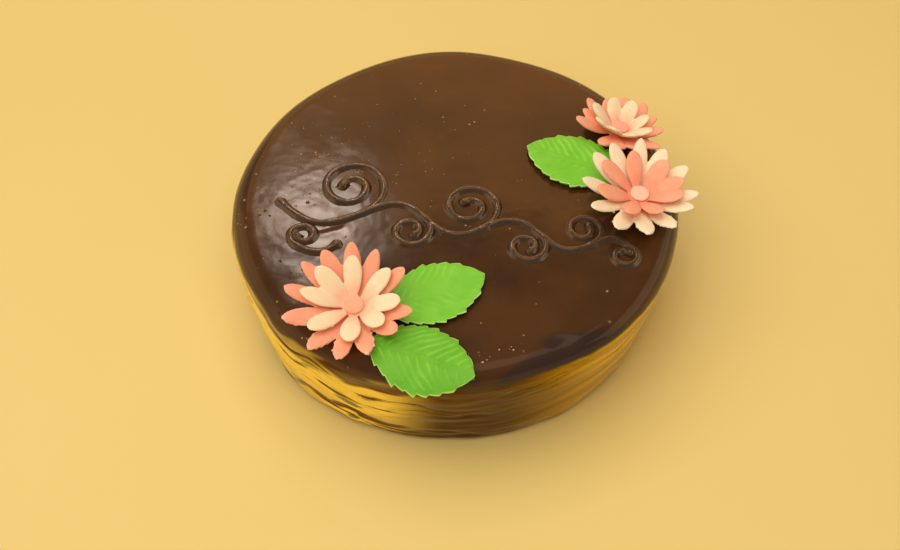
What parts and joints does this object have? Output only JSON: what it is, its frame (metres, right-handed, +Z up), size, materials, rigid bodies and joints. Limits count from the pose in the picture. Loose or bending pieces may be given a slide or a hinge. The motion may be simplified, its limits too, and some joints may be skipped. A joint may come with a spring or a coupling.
{
  "type": "glazed chocolate torte",
  "caption": "Round chocolate torte under dark glossy glaze, topped with sugar-paste daisies, green leaves and a piped chocolate scroll; a whole uncut cake to set on a table.",
  "frame": {"origin": "centre of the cake's flat foot, where it stands on the table", "axes": "+Z up out of the cake's top; -Y is the front, with the larger flower and two leaves at its left; +X is the right, with the pair of flowers"},
  "size_m": [0.2284, 0.2255, 0.0844],
  "materials": {
    "chocolate_glaze": "dark brown poured chocolate glaze, glossy, softly rippled, with small bubbles; streaked by the spatula round the side",
    "piped_chocolate": "dark glossy piped chocolate line, rounded, slightly sunk into the glaze",
    "green_sugar_paste": "bright green sugar paste with embossed veins and a paler cut edge",
    "coral_sugar_paste": "soft coral-pink sugar paste, matt, slightly waxy",
    "cream_sugar_paste": "warm cream sugar paste, matt, slightly waxy"
  },
  "bodies": {
    "root": {"cake": "chocolate_glaze", "piped_scroll": "piped_chocolate", "piped_curl": "piped_chocolate", "leaf_upper": "green_sugar_paste", "leaf_lower": "green_sugar_paste", "leaf_back": "green_sugar_paste", "flower_front_outer": "coral_sugar_paste", "flower_front_inner": "cream_sugar_paste", "flower_front_button": "coral_sugar_paste", "flower_right_outer": "cream_sugar_paste", "flower_right_inner": "coral_sugar_paste", "flower_right_button": "cream_sugar_paste", "flower_back_outer": "coral_sugar_paste", "flower_back_inner": "cream_sugar_paste", "flower_back_button": "coral_sugar_paste"}
  },
  "joints": []
}
